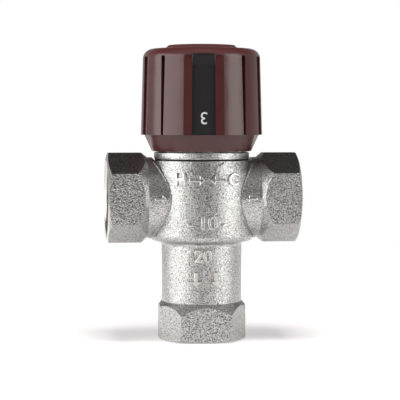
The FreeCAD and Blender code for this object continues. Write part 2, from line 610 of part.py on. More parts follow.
def cut_groove(body, middle, half_base, half_top, sunk, fade, end_proud, stepped):
    """Lofted groove in the knob, with a stepped edge on the ribs beside the sides named."""
    heights = (
        (RIB_BASE, f"core_base - {sunk}", "core_base", half_base),
        (f"({RIB_TOP} - {fade})", f"core_top - {sunk}", "core_top", half_top),
        (RIB_TOP, f"core_top + {end_proud}", "core_top", half_top))
    sketches = []
    for height, floor, core, half in heights:
        rim = f"({core} + rib_proud)"
        corners = [polar(f"({floor})", f"{middle} - {half}"), polar(f"({floor})", f"{middle} + {half}")]
        for side in (1, -1):
            edge = f"{middle} + ({side}) * {half}"
            if side in stepped:
                wide = f"{edge} + ({side}) * (land_half - dial_half)"
                flank = [polar(f"({rim} - land_sunk)", edge), polar(rim, wide), polar(GRIP_CLEAR, wide)]
            else:
                flank = [polar(GRIP_CLEAR, edge)]
            corners += flank if side == 1 else reversed(flank)
        sketches.append(draw_polygon(sketch_on(body, "XY_Plane", height), corners))
    before = body.Shape.Volume
    loft = body.newObject("PartDesign::SubtractiveLoft", "groove")
    loft.Profile = sketches[0]
    loft.Sections = sketches[1:]
    loft.Ruled = True
    doc.recompute()
    if not body.Shape.Volume < before:
        raise RuntimeError(f"{body.Label}: a groove cuts nothing")


def cut_knob_grip(body):
    """Dial windows and the narrow grooves that part the ribs between them."""
    ribs = int(measure("rib_count"))
    slit = "((slit_base + slit_top) / 2)"
    rib = f"((360 / dial_count - 2 * dial_half - (rib_count - 1) * {slit}) / rib_count)"
    steps_at = {ribs // 2: (-1,), ribs // 2 + 1: (1,)}
    for window in range(int(measure("dial_count"))):
        start = f"{window} * 360 / dial_count - dial_turn"
        cut_groove(body, f"({start})", "dial_half", "dial_half", "0", "dial_fade", "rib_proud", (1, -1))
        for number in range(1, ribs):
            middle = f"({start} + dial_half + {number} * {rib} + ({number} - 0.5) * {slit})"
            cut_groove(body, middle, "slit_base / 2", "slit_top / 2", "slit_sunk", "slit_fade",
                       "rib_proud / 2", steps_at.get(number, ()))


def make_knob():
    """Moulded knob: conical skirt, ribbed grip, boss with the drive socket and webs."""
    body = new_body("knob")
    turn(body, [
        ("0", WELL_FLOOR), ("well_radius", WELL_FLOOR), ("well_radius", CAP_FLOOR),
        ("cap_radius + loose_gap", CAP_FLOOR), ("cap_radius + loose_gap", KNOB_TOP),
        ("core_top + rib_proud", KNOB_TOP), ("core_top + rib_proud", CROWN_BASE),
        ("core_base + rib_proud", RIB_BASE), ("core_base", RIB_BASE), ("skirt_radius", KNOB_BASE),
        ("skirt_mouth", KNOB_BASE), ("shell_radius", RIB_BASE),
        ("shell_radius - shell_taper", SHELL_CEILING),
        ("boss_radius", SHELL_CEILING), ("boss_radius", WEBS_BASE), ("0", WEBS_BASE)])
    soften(body, "Fillet", "crown_round", ring_edge("core_top + rib_proud", KNOB_TOP))
    soften(body, "Fillet", "skirt_round", ring_edge("skirt_radius", KNOB_BASE))
    cut_knob_grip(body)
    web = draw_polygon(sketch_on(body, "XZ_Plane"), [
        ("boss_radius - web_thick", WEBS_BASE), ("shell_radius", WEBS_BASE),
        ("shell_radius", SHELL_CEILING), ("boss_radius - web_thick", SHELL_CEILING)])
    repeat_round(body, raise_pad(body, web, "web_thick", both_ways=True), "knob_webs")
    socket = draw_polygon(sketch_on(body, "XY_Plane", WEBS_BASE), hexagon("drive_flats + 2 * slide_gap"))
    cut_pocket(body, socket, f"{DRIVE_TOP} + loose_gap - {WEBS_BASE}")
    hole = draw_circle(sketch_on(body, "XY_Plane", f"{DRIVE_TOP}"), "bolt_radius + loose_gap")
    cut_pocket(body, hole, f"{WELL_FLOOR} - {DRIVE_TOP}")


def make_knob_fixings():
    """Screw and washer that hold the knob on the spindle, and the cap over them."""
    flat_ring("screw_washer", "bolt_radius + loose_gap", "flat_washer", WELL_FLOOR, HEAD_BASE)
    screw = new_body("knob_screw")
    turn(screw, [
        ("0", f"{HEAD_BASE} - bolt_long"), ("bolt_radius", f"{HEAD_BASE} - bolt_long"),
        ("bolt_radius", HEAD_BASE), ("head_radius", HEAD_BASE),
        ("head_radius", f"{HEAD_BASE} + head_tall"), ("0", f"{HEAD_BASE} + head_tall")])
    half = "driver_slot / 2"
    slot = draw_polygon(sketch_on(screw, "XY_Plane", f"{HEAD_BASE} + head_tall - driver_slot"), [
        ("-head_radius", f"-{half}"), ("head_radius", f"-{half}"),
        ("head_radius", half), ("-head_radius", half)])
    cut_pocket(screw, slot, "driver_slot")
    cap = new_body("knob_cap")
    ring_outer = "(well_radius - press_gap)"
    turn(cap, [
        ("0", CAP_FLOOR), (f"{ring_outer} - cap_ring", CAP_FLOOR),
        (f"{ring_outer} - cap_ring", f"{CAP_FLOOR} - cap_ring_deep"),
        (ring_outer, f"{CAP_FLOOR} - cap_ring_deep"),
        (ring_outer, CAP_FLOOR), ("cap_radius", CAP_FLOOR), ("cap_radius", f"{KNOB_TOP} + cap_proud"),
        ("0", f"{KNOB_TOP} + cap_proud")])
    soften(cap, "Chamfer", "cap_bevel", ring_edge("cap_radius", f"{KNOB_TOP} + cap_proud"))


for make in (make_valve_body, make_bonnet, make_seats_and_gasket, make_spindle, make_travel_nut,
             make_wax_element, make_shuttle, make_knob, make_knob_fixings):
    make()
doc.recompute()

failed = [item.Name for item in doc.Objects if {"Invalid", "Error"} & set(item.State)]
failed += [part.Label for part in parts if part.Shape.isNull() or not part.Shape.isValid()]
if failed:
    raise RuntimeError(f"failed objects: {failed}")
os.makedirs("parts", exist_ok=True)
for part in parts:
    part.Shape.exportStep(f"parts/{part.Label}.step")
    box = part.Shape.BoundBox
    print(f"{part.Label}: {len(part.Shape.Solids)} solid, {part.Shape.Volume:.1f} mm3, "
          f"z {box.ZMin:.2f} to {box.ZMax:.2f}, x {box.XMin:.2f} to {box.XMax:.2f}")
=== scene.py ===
"""Looks of the mixing valve: blasted nickel plating, moulded knob, threads and cast marks."""
import json
import math

import bmesh
import bpy
from mathutils import Matrix, Vector


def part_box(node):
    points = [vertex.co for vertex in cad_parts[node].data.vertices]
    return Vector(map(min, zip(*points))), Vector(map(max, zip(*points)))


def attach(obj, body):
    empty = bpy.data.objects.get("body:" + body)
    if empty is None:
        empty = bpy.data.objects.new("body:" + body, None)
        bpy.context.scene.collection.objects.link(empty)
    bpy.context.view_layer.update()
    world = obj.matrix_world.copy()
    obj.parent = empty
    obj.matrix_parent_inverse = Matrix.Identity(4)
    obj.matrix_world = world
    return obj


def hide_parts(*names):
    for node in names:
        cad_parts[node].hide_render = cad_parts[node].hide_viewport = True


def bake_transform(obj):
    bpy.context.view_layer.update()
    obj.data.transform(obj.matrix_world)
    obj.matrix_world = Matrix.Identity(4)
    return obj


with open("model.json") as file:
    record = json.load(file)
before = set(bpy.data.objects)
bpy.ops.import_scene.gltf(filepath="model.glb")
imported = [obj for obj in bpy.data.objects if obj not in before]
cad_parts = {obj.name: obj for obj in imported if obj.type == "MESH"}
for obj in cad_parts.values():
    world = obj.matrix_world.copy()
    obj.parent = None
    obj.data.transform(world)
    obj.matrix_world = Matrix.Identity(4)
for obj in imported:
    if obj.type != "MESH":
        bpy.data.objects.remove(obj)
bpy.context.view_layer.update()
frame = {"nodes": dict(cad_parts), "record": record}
NODES = frame["nodes"]

MM = 0.001
STEP_AROUND = 96                    # facets round a turned surface
WELD = 0.002 * MM                   # corners closer than this are one
SLIVER = 0.06 * MM                  # narrowest step that the knob keeps

# Places of the valve's features, read from the frame
mounts = {mount["name"]: mount for mount in frame["record"]["mounts"]}
PORT_HEIGHT = mounts["hot_inlet"]["pos_m"][2]
THREAD_MINOR = mounts["hot_inlet"]["dims"]["r_mm"] * MM
PORT_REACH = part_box("valve_body")[1][0]
KNOB_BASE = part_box("knob")[0][2]

# G 3/4 pipe thread, 14 turns to the inch
THREAD_PITCH = 1.814 * MM
THREAD_DEPTH = 1.16 * MM
THREAD_LONG = 16.0 * MM
THREAD_ROWS = 12                    # rings of corners for each turn
THREAD_FLANK = 2.2                  # steepness of a tooth's sides
THREAD_FLAT = 0.6                   # leaves a flat of about a quarter pitch at root and crest
THREAD_RUNOUT = 1.2 * THREAD_PITCH  # length over which the last tooth fades out
MOUTH_RADIUS = 13.25 * MM           # bevel where the pipe enters

# Outside of the forging
BARREL_RADIUS = 19.0 * MM
NECK_RADIUS = 14.4 * MM
BORE_SLACK = 0.05 * MM              # a bore's wall is found to within this
FACE_SLACK = 0.01 * MM              # an end face is found to within this
TURNED_DEEP = 0.5 * MM              # faces this near to a port's end are lathe-turned

# Raised marks of the forging die
RELIEF = 0.75 * MM
ROOT = 0.35 * MM                    # their foot inside the metal
MARK_EDGE = 0.3 * MM                # rounding of a raised character
ARROW_EDGE = 0.35 * MM              # rounding of a raised arrow
LETTER_TALL = 4.2 * MM
RATING_TALL = 4.6 * MM
INLET_ROW = PORT_HEIGHT + 6.7 * MM
RATING_ROW = PORT_HEIGHT - 8.4 * MM
SIZE_ROW = PORT_HEIGHT - 20.4 * MM
OUTLET_ROW = PORT_HEIGHT - 28.4 * MM
TICK_ROW = PORT_HEIGHT + 12.2 * MM
FLOW_ARROW_PLACE = 16 * MM          # from the middle, along each side neck
LETTER_TURN = math.radians(29)      # of H and C, to each side of the front
INWARD_TURN = math.radians(11)      # of the arrows beside them
DOWNWARD_TURN = math.radians(14)    # of the outlet's arrows
SIZE_TURN = math.radians(-4)
TICK_TURN = math.radians(15)
SEAM_BEAD = 0.42 * MM
SEAM_TOP = PORT_HEIGHT + 13.0 * MM  # the flange hides the seam above this

# Dial window at the front of the knob
DIAL_TURN = math.radians(4.2)
DIAL_HALF = math.radians(11.4)
DIAL_DEPTH = 19.92 * MM             # flat floor of the window at the numeral, from the axis
DIAL_INSIDE = 19.0 * MM             # faces nearer to the axis than this are inside the knob
SKIRT_TALL = 6 * MM                 # plain skirt below the windows
NUMERAL_ROW = KNOB_BASE + 12.0 * MM
NUMERAL_TALL = 4.2 * MM
INK_THICK = 0.12 * MM
RIB_CREASE = math.radians(14)       # a bend sharper than this stays a crisp edge


def linear(code):
    """sRGB hex colour as linear RGBA."""
    parts = [int(code[place:place + 2], 16) / 255 for place in (1, 3, 5)]
    red, green, blue = (part / 12.92 if part <= 0.04045 else ((part + 0.055) / 1.055) ** 2.4
                        for part in parts)
    return red, green, blue, 1.0


def add(tree, kind, settings=None, links=None):
    """Adds a node, sets its values and joins its inputs to other nodes' outputs."""
    node = tree.nodes.new(kind)
    for key, value in (settings or {}).items():
        if key == "stops":
            ramp = node.color_ramp.elements
            while len(ramp) < len(value):
                ramp.new(0.5)
            for stop, (position, colour) in zip(ramp, value):
                stop.position = position
                stop.color = colour
        elif isinstance(key, int) or key in node.inputs.keys():
            node.inputs[key].default_value = value
        else:
            setattr(node, key, value)
    for key, (source, output) in (links or {}).items():
        tree.links.new(source.outputs[output], node.inputs[key])
    return node


def new_material(name):
    """Empty node material."""
    material = bpy.data.materials.new(name)
    material.use_nodes = True
    material.node_tree.nodes.clear()
    return material, material.node_tree


def blasted_nickel():
    """Nickel plate over a shot-blasted brass forging: pale grey, glittering with small dents."""
    material, tree = new_material("blasted_nickel_plate")
    place = add(tree, "ShaderNodeTexCoord")
    # Real grit leaves marks of about 0.2 mm; they are drawn coarser so that the glitter shows.
    grit = add(tree, "ShaderNodeTexNoise", {"Scale": 1 / (0.29 * MM), "Detail": 0.6},
               {"Vector": (place, "Object")})
    dents = add(tree, "ShaderNodeTexVoronoi",
                {"Scale": 1 / (0.5 * MM), "feature": "SMOOTH_F1", "Smoothness": 0.4},
                {"Vector": (place, "Object")})
    wide = add(tree, "ShaderNodeTexNoise",
               {"Scale": 1 / (7 * MM), "Detail": 2.0}, {"Vector": (place, "Object")})
    pits = add(tree, "ShaderNodeMath",
               {"operation": "MULTIPLY_ADD", 1: 0.06}, {0: (wide, "Fac"), 2: (grit, "Fac")})
    tone = add(tree, "ShaderNodeValToRGB",
               {"stops": [(0.36, linear("#6A6B68")), (0.64, linear("#DCDCD8"))]},
               {"Fac": (pits, 0)})
    gloss = add(tree, "ShaderNodeMapRange",
                {"To Min": 0.24, "To Max": 0.38}, {"Value": (grit, "Fac")})
    relief = add(tree, "ShaderNodeMath",
                 {"operation": "ADD"}, {0: (grit, "Fac"), 1: (dents, "Distance")})
    bump = add(tree, "ShaderNodeBump",
               {"Strength": 1.0, "Distance": 0.08 * MM}, {"Height": (relief, 0)})
    shader = add(tree, "ShaderNodeBsdfPrincipled", {"Metallic": 1.0},
                 {"Base Color": (tone, "Color"), "Roughness": (gloss, 0), "Normal": (bump, 0)})
    add(tree, "ShaderNodeOutputMaterial", links={"Surface": (shader, 0)})
    return material


def turned_nickel():
    """Nickel plate over lathe-turned brass: brighter and smoother, with fine tool marks. On the
    raised cast marks it is a painted highlight.
    """
    material, tree = new_material("turned_nickel_and_mark_highlight")
    place = add(tree, "ShaderNodeTexCoord")
    # Real tool marks are nearer 0.1 mm apart; they are drawn coarser so that they show.
    marks = add(tree, "ShaderNodeTexNoise",
                {"Scale": 1 / (0.35 * MM), "Detail": 2.0}, {"Vector": (place, "Object")})
    gloss = add(tree, "ShaderNodeMapRange",
                {"To Min": 0.2, "To Max": 0.32}, {"Value": (marks, "Fac")})
    bump = add(tree, "ShaderNodeBump",
               {"Strength": 0.5, "Distance": 0.05 * MM}, {"Height": (marks, "Fac")})
    shader = add(tree, "ShaderNodeBsdfPrincipled",
                 {"Metallic": 1.0, "Base Color": linear("#D2D0CB")},
                 {"Roughness": (gloss, 0), "Normal": (bump, 0)})
    add(tree, "ShaderNodeOutputMaterial", links={"Surface": (shader, 0)})
    return material


def moulded_plastic(name, smooth, rough):
    """Injection-moulded maroon ABS: dark and even, with a skin that copies the mould's finish."""
    material, tree = new_material(name)
    place = add(tree, "ShaderNodeTexCoord")
    # The mould's skin has a grain of a few hundredths; it is drawn at 0.5 mm so that it shows.
    grain = add(tree, "ShaderNodeTexNoise",
                {"Scale": 1 / (0.5 * MM), "Detail": 2.0}, {"Vector": (place, "Object")})
    flow = add(tree, "ShaderNodeTexNoise",
               {"Scale": 1 / (9 * MM), "Detail": 1.0}, {"Vector": (place, "Object")})
    tone = add(tree, "ShaderNodeValToRGB",
               {"stops": [(0.3, linear("#542C2B")), (0.7, linear("#5A2F2E"))]},
               {"Fac": (flow, "Fac")})
    gloss = add(tree, "ShaderNodeMapRange",
                {"To Min": smooth, "To Max": rough}, {"Value": (grain, "Fac")})
    bump = add(tree, "ShaderNodeBump",
               {"Strength": 0.25, "Distance": 0.03 * MM}, {"Height": (grain, "Fac")})
    shader = add(tree, "ShaderNodeBsdfPrincipled",
                 {"IOR": 1.53},
                 {"Base Color": (tone, "Color"), "Roughness": (gloss, 0), "Normal": (bump, 0)})
    add(tree, "ShaderNodeOutputMaterial", links={"Surface": (shader, 0)})
    return material


def plain_finish(name, code, metallic, roughness, grain_mm):
    """Even finish with a grain in its gloss, drawn coarser than the real one so that it shows."""
    material, tree = new_material(name)
    place = add(tree, "ShaderNodeTexCoord")
    grain = add(tree, "ShaderNodeTexNoise",
                {"Scale": 1 / (grain_mm * MM), "Detail": 2.0}, {"Vector": (place, "Object")})
    gloss = add(tree, "ShaderNodeMapRange", {"To Min": roughness * 0.8, "To Max": roughness * 1.2},
                {"Value": (grain, "Fac")})
    bump = add(tree, "ShaderNodeBump",
               {"Strength": 0.1, "Distance": 0.02 * MM}, {"Height": (grain, "Fac")})
    shader = add(tree, "ShaderNodeBsdfPrincipled",
                 {"Metallic": metallic, "Base Color": linear(code)},
                 {"Roughness": (gloss, 0), "Normal": (bump, 0)})
    add(tree, "ShaderNodeOutputMaterial", links={"Surface": (shader, 0)})
    return material


BLASTED = blasted_nickel()
TURNED_AND_MARK_HIGHLIGHT = turned_nickel()
# Its ribs mirror the lamps.
PLASTIC = moulded_plastic("polished_maroon_abs", 0.2, 0.28)
# Dull, so that the flat top stays dark.
CAP_PLASTIC = moulded_plastic("textured_maroon_abs", 0.5, 0.6)
# Flat, bright and slightly cool
INK = plain_finish("printed_white_ink", "#F4F4F8", 0.0, 0.5, 0.2)
# Painted shade: near black and barely shining, laid on the dial windows' floors where the plastic
# lies in shade
DIAL_PAINTED_SHADE = plain_finish("painted_shade_dial_window", "#0C0809", 0.0, 0.75, 0.2)
# Warm yellow, bright
BRASS = plain_finish("turned_brass", "#D9B56C", 1.0, 0.25, 0.2)
# Grey, with an even shine
STEEL = plain_finish("drawn_stainless_steel", "#B9B9BB", 1.0, 0.28, 0.2)
# Black, dull
RUBBER = plain_finish("nitrile_rubber", "#1B1B1C", 0.0, 0.55, 0.15)
# Black, with a matt edge
FIBRE = plain_finish("pressed_fibre", "#1F1B1A", 0.0, 0.8, 0.3)
# Milky, waxy
ACETAL = plain_finish("machined_acetal", "#E8E5DC", 0.0, 0.4, 0.4)
# Red-brown, bright
COPPER = plain_finish("drawn_copper", "#C98A64", 1.0, 0.3, 0.2)

FINISHES = {
    "bonnet": BLASTED, "bonnet_gasket": FIBRE, "hot_seat": BRASS, "cold_seat": BRASS,
    "glide_washer": ACETAL, "return_spring": STEEL, "knob": PLASTIC, "knob_cap": CAP_PLASTIC,
    "knob_screw": STEEL, "screw_washer": STEEL, "spindle": BRASS, "spindle_seal_lower": RUBBER,
    "spindle_seal_upper": RUBBER, "spindle_circlip": STEEL, "travel_nut": BRASS, "nut_clip": STEEL,
    "spring_plate": STEEL, "overload_spring": STEEL, "piston_pin": STEEL, "wax_element": COPPER,
    "shuttle": ACETAL, "shuttle_seal": RUBBER,
}


def soften_edges(piece, width_mm):
    """Small rounding along the sharp edges."""
    weld = piece.modifiers.new("weld", "WELD")
    weld.merge_threshold = WELD
    bevel = piece.modifiers.new("edge", "BEVEL")
    bevel.width = width_mm * MM
    bevel.segments = 2
    bevel.limit_method = "ANGLE"
    bevel.angle_limit = math.radians(28)
    shade = piece.modifiers.new("shade", "WEIGHTED_NORMAL")
    shade.weight = 100
    shade.keep_sharp = True


def dress_nodes():
    """Gives every CAD node its finish and rounds the edges of those in view."""
    for name, finish in FINISHES.items():
        node = NODES[name]
        node.data.materials.clear()
        node.data.materials.append(finish)
    for name, width in (("knob_cap", 0.25), ("bonnet", 0.25)):
        soften_edges(NODES[name], width)


def new_piece(name, mesh, body, finishes):
    """Object of the scene. It rides on a body of the frame when one is given."""
    data = bpy.data.meshes.new(name)
    mesh.to_mesh(data)
    mesh.free()
    for finish in finishes:
        data.materials.append(finish)
    piece = bpy.data.objects.new(name, data)
    bpy.context.scene.collection.objects.link(piece)
    if body:
        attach(piece, body)
    return piece


def copy_of_node(name):
    """Welded copy of a CAD node's mesh, to be dressed."""
    mesh = bmesh.new()
    mesh.from_mesh(NODES[name].data)
    bmesh.ops.remove_doubles(mesh, verts=mesh.verts, dist=WELD)
    return mesh


# Threads and the forged body

# Middle of each port's end face, its inward direction, and where a turn starts
PORTS = (
    (Vector((-PORT_REACH, 0, PORT_HEIGHT)), Vector((1, 0, 0)), Vector((0, 0, 1))),
    (Vector((PORT_REACH, 0, PORT_HEIGHT)), Vector((-1, 0, 0)), Vector((0, 0, 1))),
    (Vector((0, 0, 0)), Vector((0, 0, 1)), Vector((1, 0, 0))),
)


def thread_radius(depth, turn):
    """Radius of a port's wall at a depth from its end face and a fraction of a turn."""
    sink = MOUTH_RADIUS - depth
    phase = (depth / THREAD_PITCH - turn) % 1.0
    tooth = min(1.0, max(0.0, THREAD_FLANK * abs(2 * phase - 1) - THREAD_FLAT))
    runout = min(1.0, (THREAD_LONG - depth) / THREAD_RUNOUT)
    return max(sink, THREAD_MINOR + THREAD_DEPTH * tooth * runout)


def add_thread(mesh, end, inward, up):
    """Threaded wall of one port, from its end face to the bore's floor."""
    across = inward.cross(up)
    rows = int(THREAD_LONG / THREAD_PITCH * THREAD_ROWS)
    grid = []
    for row in range(rows + 1):
        depth = THREAD_LONG * row / rows
        ring = []
        for step in range(STEP_AROUND):
            turn = step / STEP_AROUND
            spoke = math.cos(math.tau * turn) * up + math.sin(math.tau * turn) * across
            ring.append(mesh.verts.new(end + inward * depth + spoke * thread_radius(depth, turn)))
        grid.append(ring)
    for lower, upper in zip(grid, grid[1:]):
        for step in range(STEP_AROUND):
            after = (step + 1) % STEP_AROUND
            mesh.faces.new((lower[step], lower[after], upper[after], upper[step])).smooth = True


def make_threads():
    """Pipe threads in the three ports."""
    mesh = bmesh.new()
    for end, inward, up in PORTS:
        add_thread(mesh, end, inward, up)
    bmesh.ops.recalc_face_normals(mesh, faces=mesh.faces)
    new_piece("port_threads", mesh, "housing", [TURNED_AND_MARK_HIGHLIGHT])


def depth_and_radius(spot, end, inward):
    """Place of a point in a port: its depth from the end face and its distance from the axis."""
    offset = spot - end
    depth = offset.dot(inward)
    return depth, (offset - inward * depth).length


def make_forging():
    """Forged body: the CAD form with rounded edges and turned bevels, with the walls of its
    threaded bores taken out.
    """
    mesh = copy_of_node("valve_body")
    bored = []
    for face in mesh.faces:
        for end, inward, _ in PORTS:
            depth, radius = depth_and_radius(face.calc_center_median(), end, inward)
            corners = [depth_and_radius(vert.co, end, inward) for vert in face.verts]
            on_wall = all(size > THREAD_MINOR - BORE_SLACK for _, size in corners)
            in_mouth = radius < MOUTH_RADIUS and -FACE_SLACK < depth < THREAD_LONG
            along = abs(face.normal.dot(inward))
            if on_wall and in_mouth and along < 0.9:
                bored.append(face)
            elif depth < TURNED_DEEP and along > 0.12:
                face.material_index = 1
    bmesh.ops.delete(mesh, geom=bored, context="FACES")
    piece = new_piece("forged_body", mesh, "housing", [BLASTED, TURNED_AND_MARK_HIGHLIGHT])
    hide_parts("valve_body")
    soften_edges(piece, 0.3)


# Spring under the shuttle

def make_return_spring():
    """Return spring in two halves, cut at its middle and closed at the cut."""
    low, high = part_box("return_spring")
    middle = (low[2] + high[2]) / 2
    halves = (("return_spring_foot", "housing", "nut_group", low[2], middle),
              ("return_spring_head", "nut_group", "element_group", middle, high[2]))
    for name, fixed, moving, bottom, top in halves:
        mesh = copy_of_node("return_spring")
        cut = bmesh.ops.bisect_plane(mesh, geom=mesh.verts[:] + mesh.edges[:] + mesh.faces[:],
                                     plane_co=(0, 0, middle), plane_no=(0, 0, 1),
                                     clear_inner=bottom == middle, clear_outer=top == middle)
        rim = [item for item in cut["geom_cut"] if isinstance(item, bmesh.types.BMEdge)]
        bmesh.ops.holes_fill(mesh, edges=rim)
        piece = new_piece(name, mesh, None, [STEEL])
        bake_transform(piece)
        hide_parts("return_spring")


# Cast marks

def outline_mesh(corners):
    """Raised flat mark with these corners, drawn in millimetres."""
    mesh = bmesh.new()
    lower = [mesh.verts.new((across * MM, up * MM, -ROOT)) for across, up in corners]
    foot = mesh.faces.new(lower)
    raised = bmesh.ops.extrude_face_region(mesh, geom=[foot])
    top = [item for item in raised["geom"] if isinstance(item, bmesh.types.BMVert)]
    bmesh.ops.translate(mesh, verts=top, vec=(0, 0, ROOT + RELIEF))
    bmesh.ops.recalc_face_normals(mesh, faces=mesh.faces)
    rim = [edge for edge in mesh.edges if all(vert in top for vert in edge.verts)]
    bmesh.ops.bevel(mesh, geom=rim, offset=ARROW_EDGE, segments=2, profile=0.5, affect="EDGES")
    return mesh


def text_mesh(words, tall, lift, rounding):
    """Plain block characters of a height in metres, centred on the origin."""
    curve = bpy.data.curves.new("characters", "FONT")
    curve.body = words
    curve.align_x, curve.align_y = "CENTER", "CENTER"
    curve.size = tall / 0.7
    curve.extrude = (lift + ROOT) / 2 - rounding
    curve.bevel_depth = rounding
    curve.bevel_resolution = 1
    curve.resolution_u = 6
    curve.offset = -0.2 * rounding
    holder = bpy.data.objects.new("characters", curve)
    bpy.context.scene.collection.objects.link(holder)
    bpy.context.view_layer.update()
    drawn = holder.evaluated_get(bpy.context.evaluated_depsgraph_get()).to_mesh()
    mesh = bmesh.new()
    mesh.from_mesh(drawn)
    holder.to_mesh_clear()
    bpy.data.objects.remove(holder)
    bpy.data.curves.remove(curve)
    bmesh.ops.remove_doubles(mesh, verts=mesh.verts, dist=WELD)
    bmesh.ops.translate(mesh, verts=mesh.verts, vec=(0, 0, (lift - ROOT) / 2))
    return mesh


def wrap_upright(mesh, radius, angle, height):
    """Bends a flat mark round the valve's upright axis, at an angle from the front."""
    for vert in mesh.verts:
        turn = angle + vert.co.x / radius
        reach = radius + vert.co.z
        vert.co = Vector((reach * math.sin(turn), -reach * math.cos(turn), height + vert.co.y))
    return mesh


def wrap_level(mesh, radius, along):
    """Bends a flat mark round the side ports' level axis, on the front of a neck."""
    for vert in mesh.verts:
        turn = vert.co.y / radius
        reach = radius + vert.co.z
        vert.co = Vector((along + vert.co.x, -reach * math.cos(turn),
                          PORT_HEIGHT + reach * math.sin(turn)))
    return mesh


def arrow(long, head, shaft):
    """Corners of an arrow that points to the right."""
    half = long / 2
    neck = half - head
    return [(-half, -shaft), (neck, -shaft), (neck, -head), (half, 0),
            (neck, head), (neck, shaft), (-half, shaft)]


def turned_corners(corners, degrees):
    """Corners turned about the middle of their mark."""
    cosine, sine = math.cos(math.radians(degrees)), math.sin(math.radians(degrees))
    return [(across * cosine - up * sine, across * sine + up * cosine) for across, up in corners]


def joined(meshes):
    """One mesh out of several."""
    whole = bmesh.new()
    for mesh in meshes:
        part = bpy.data.meshes.new("part")
        mesh.to_mesh(part)
        mesh.free()
        whole.from_mesh(part)
        bpy.data.meshes.remove(part)
    return whole


def make_cast_marks():
    """Inlet letters, flow arrows, plain numbers and an index tick, raised on the forging."""
    marks = []
    for letter, side in (("H", -1), ("C", 1)):
        initial = text_mesh(letter, LETTER_TALL, RELIEF, MARK_EDGE)
        marks.append(wrap_upright(initial, BARREL_RADIUS, side * LETTER_TURN, INLET_ROW))
        inward = outline_mesh(turned_corners(arrow(5.6, 2.0, 0.65), 90 + 90 * side))
        marks.append(wrap_upright(inward, BARREL_RADIUS, side * INWARD_TURN, INLET_ROW))
    rating = text_mesh("- 10 -", RATING_TALL, RELIEF, MARK_EDGE)
    marks.append(wrap_upright(rating, BARREL_RADIUS, 0, RATING_ROW))
    size = text_mesh("20", LETTER_TALL, RELIEF, MARK_EDGE)
    marks.append(wrap_upright(size, NECK_RADIUS, SIZE_TURN, SIZE_ROW))
    for turn in (-DOWNWARD_TURN, DOWNWARD_TURN):
        down = outline_mesh(turned_corners(arrow(5.4, 2.2, 0.7), -90))
        marks.append(wrap_upright(down, NECK_RADIUS, turn, OUTLET_ROW))
    stroke = [(-1.1, -0.25), (1.1, -0.25), (1.1, 0.25), (-1.1, 0.25)]
    tick = outline_mesh(turned_corners(stroke, 40))
    marks.append(wrap_upright(tick, BARREL_RADIUS, TICK_TURN, TICK_ROW))
    for side in (-1, 1):
        flow = outline_mesh(turned_corners(arrow(4.4, 1.7, 0.5), 90 + 90 * side))
        marks.append(wrap_level(flow, NECK_RADIUS, side * FLOW_ARROW_PLACE))
    # The marks take the brighter turned finish, not the blasted one around them: painted highlight
    # on their faces.
    new_piece("cast_marks", joined(marks), "housing", [TURNED_AND_MARK_HIGHLIGHT])


def make_seam_beads():
    """Narrow raised bead where the barrel and each side neck run into one another."""
    meshes = []
    steps, around = 160, 8
    for side in (-1, 1):
        mesh = bmesh.new()
        rings = []
        for step in range(steps):
            turn = math.tau * step / steps
            level, out = NECK_RADIUS * math.sin(turn), NECK_RADIUS * math.cos(turn)
            reach = math.sqrt(BARREL_RADIUS ** 2 - out ** 2)
            middle = Vector((side * reach, out, PORT_HEIGHT + level))
            from_barrel = Vector((side * reach, out, 0)).normalized()
            from_neck = Vector((0, out, level)).normalized()
            ring = []
            for spot in range(around):
                swing = math.tau * spot / around
                spoke = math.cos(swing) * from_barrel + math.sin(swing) * from_neck
                ring.append(mesh.verts.new(middle + SEAM_BEAD * spoke))
            rings.append(ring)
        for step in range(steps):
            ring, following = rings[step], rings[(step + 1) % steps]
            for spot in range(around):
                after = (spot + 1) % around
                corners = (ring[spot], ring[after], following[after], following[spot])
                mesh.faces.new(corners).smooth = True
        bmesh.ops.recalc_face_normals(mesh, faces=mesh.faces)
        spare = [vert for vert in mesh.verts if vert.co.z > SEAM_TOP]
        bmesh.ops.delete(mesh, geom=spare, context="VERTS")
        meshes.append(mesh)
    new_piece("seam_beads", joined(meshes), "housing", [BLASTED])


# Knob

def make_grip():
    """Knob with softly rounded ribs, and painted shade in each dial window: a near-black finish on
    the window's outward faces.
    """
    mesh = copy_of_node("knob")
    bmesh.ops.remove_doubles(mesh, verts=mesh.verts, dist=SLIVER)
    for face in mesh.faces:
        middle = face.calc_center_median()
        angle = (math.atan2(middle.x, -middle.y) + DIAL_TURN + math.pi / 2) % math.pi - math.pi / 2
        flat = Vector((math.sin(angle - DIAL_TURN), -math.cos(angle - DIAL_TURN), 0))
        faces_out = abs(face.normal.z) < 0.4 and abs(face.normal.dot(flat)) > 0.9
        reach = math.hypot(middle.x, middle.y)
        in_window = abs(angle) < DIAL_HALF * 0.9 and middle.z > KNOB_BASE + SKIRT_TALL
        # The window's outward faces take the near-black painted shade, where the plastic lies in
        # shade.
        if in_window and faces_out and reach > DIAL_INSIDE:
            face.material_index = 1
    for edge in mesh.edges:
        finishes = {face.material_index for face in edge.link_faces}
        edge.smooth = len(finishes) == 1 and edge.calc_face_angle(0) < RIB_CREASE
    piece = new_piece("ribbed_knob", mesh, "knob_group", [PLASTIC, DIAL_PAINTED_SHADE])
    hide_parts("knob")
    soften_edges(piece, 0.18)


